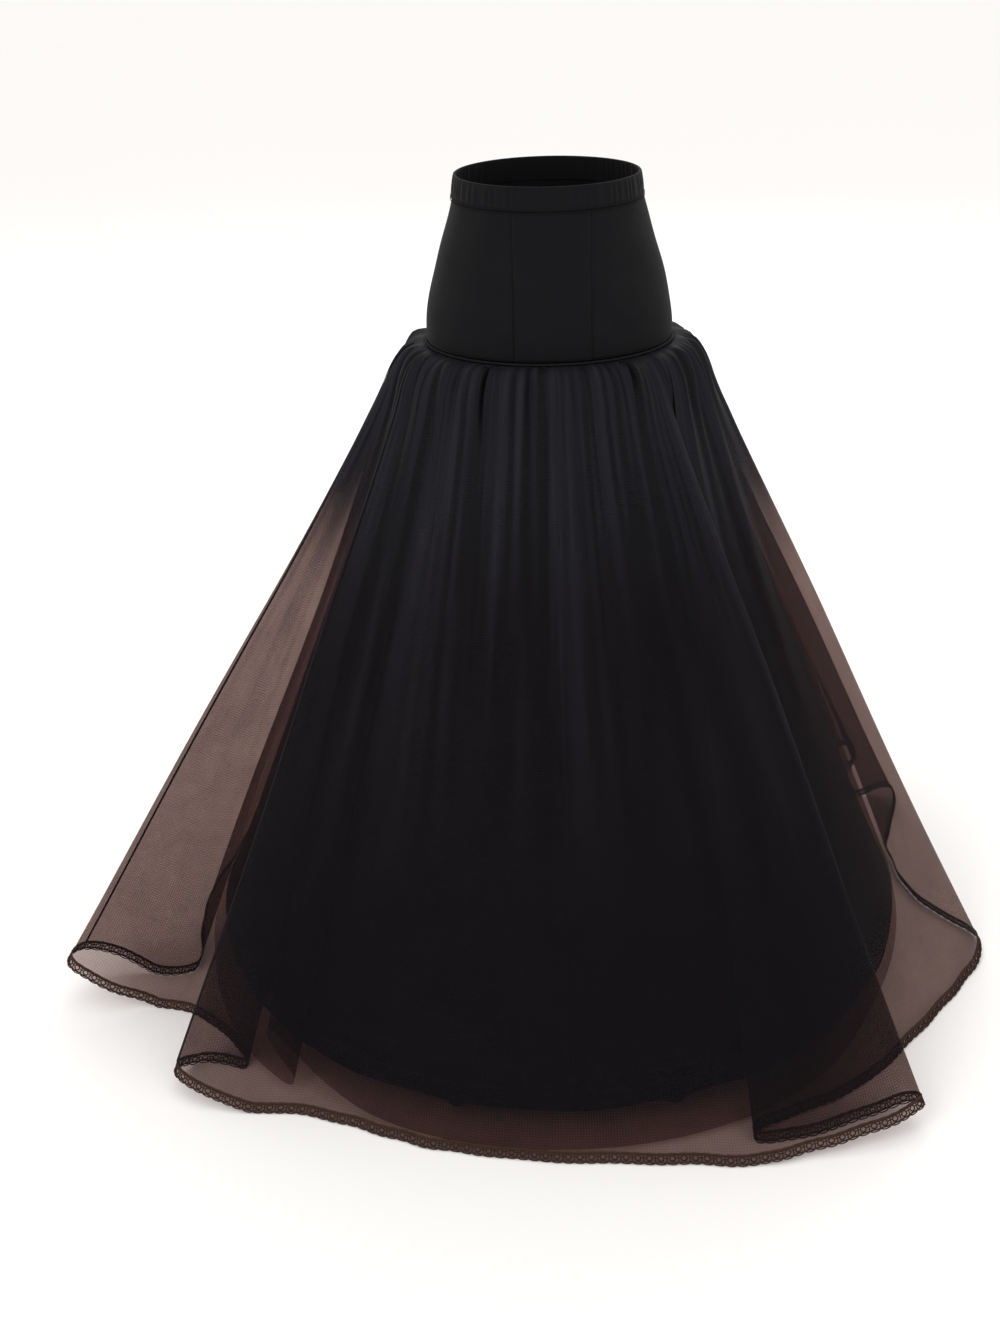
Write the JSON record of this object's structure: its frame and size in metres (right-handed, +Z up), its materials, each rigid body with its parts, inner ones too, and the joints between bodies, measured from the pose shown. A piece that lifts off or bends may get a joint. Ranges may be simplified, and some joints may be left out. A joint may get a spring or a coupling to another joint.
{
  "type": "hoop petticoat",
  "caption": "A-line hoop petticoat: elastic waist on a fitted yoke, opaque lining with a steel hoop near its hem, and sheer net over-skirts with a lace-trimmed hem.",
  "frame": {"origin": "centre of the waist opening at the top edge of the waistband", "axes": "+Z up, out of the waist opening; the wearer's front faces -Y; +X is the wearer's left"},
  "size_m": [1.1093, 1.0038, 0.9269],
  "materials": {
    "elastic_webbing": "matt ribbed webbing",
    "yoke_knit": "matt knitted jersey",
    "seam_thread": "overlocked polyester thread",
    "lining_taffeta": "matt woven polyester",
    "casing_tape": "twill tape",
    "hoop_steel": "plastic-covered spring steel",
    "joiner_steel": "crimped, plated",
    "inner_net": "sheer tulle",
    "outer_net": "sheer tulle",
    "cord_lace": "corded lace"
  },
  "bodies": {
    "root": {"waist_elastic": "elastic_webbing", "waist_casing": "yoke_knit", "yoke_front_centre": "yoke_knit", "yoke_front_left": "yoke_knit", "yoke_front_right": "yoke_knit", "yoke_back": "yoke_knit", "yoke_seam": "seam_thread", "hoop_casing": "casing_tape", "hoop": "hoop_steel", "hoop_joiner": "joiner_steel", "net_inner_front": "inner_net", "net_inner_back": "inner_net", "lining_gore_1": "lining_taffeta", "lining_gore_2": "lining_taffeta", "lining_gore_3": "lining_taffeta", "lining_gore_4": "lining_taffeta", "lining_gore_5": "lining_taffeta", "lining_gore_6": "lining_taffeta", "lining_gore_7": "lining_taffeta", "lining_gore_8": "lining_taffeta", "net_outer_left": "outer_net", "net_outer_front": "outer_net", "net_outer_right": "outer_net", "net_outer_back_right": "outer_net", "net_outer_back": "outer_net", "net_outer_back_left": "outer_net", "lace_left": "cord_lace", "lace_front": "cord_lace", "lace_right": "cord_lace", "lace_back_right": "cord_lace", "lace_back": "cord_lace", "lace_back_left": "cord_lace"}
  },
  "joints": []
}
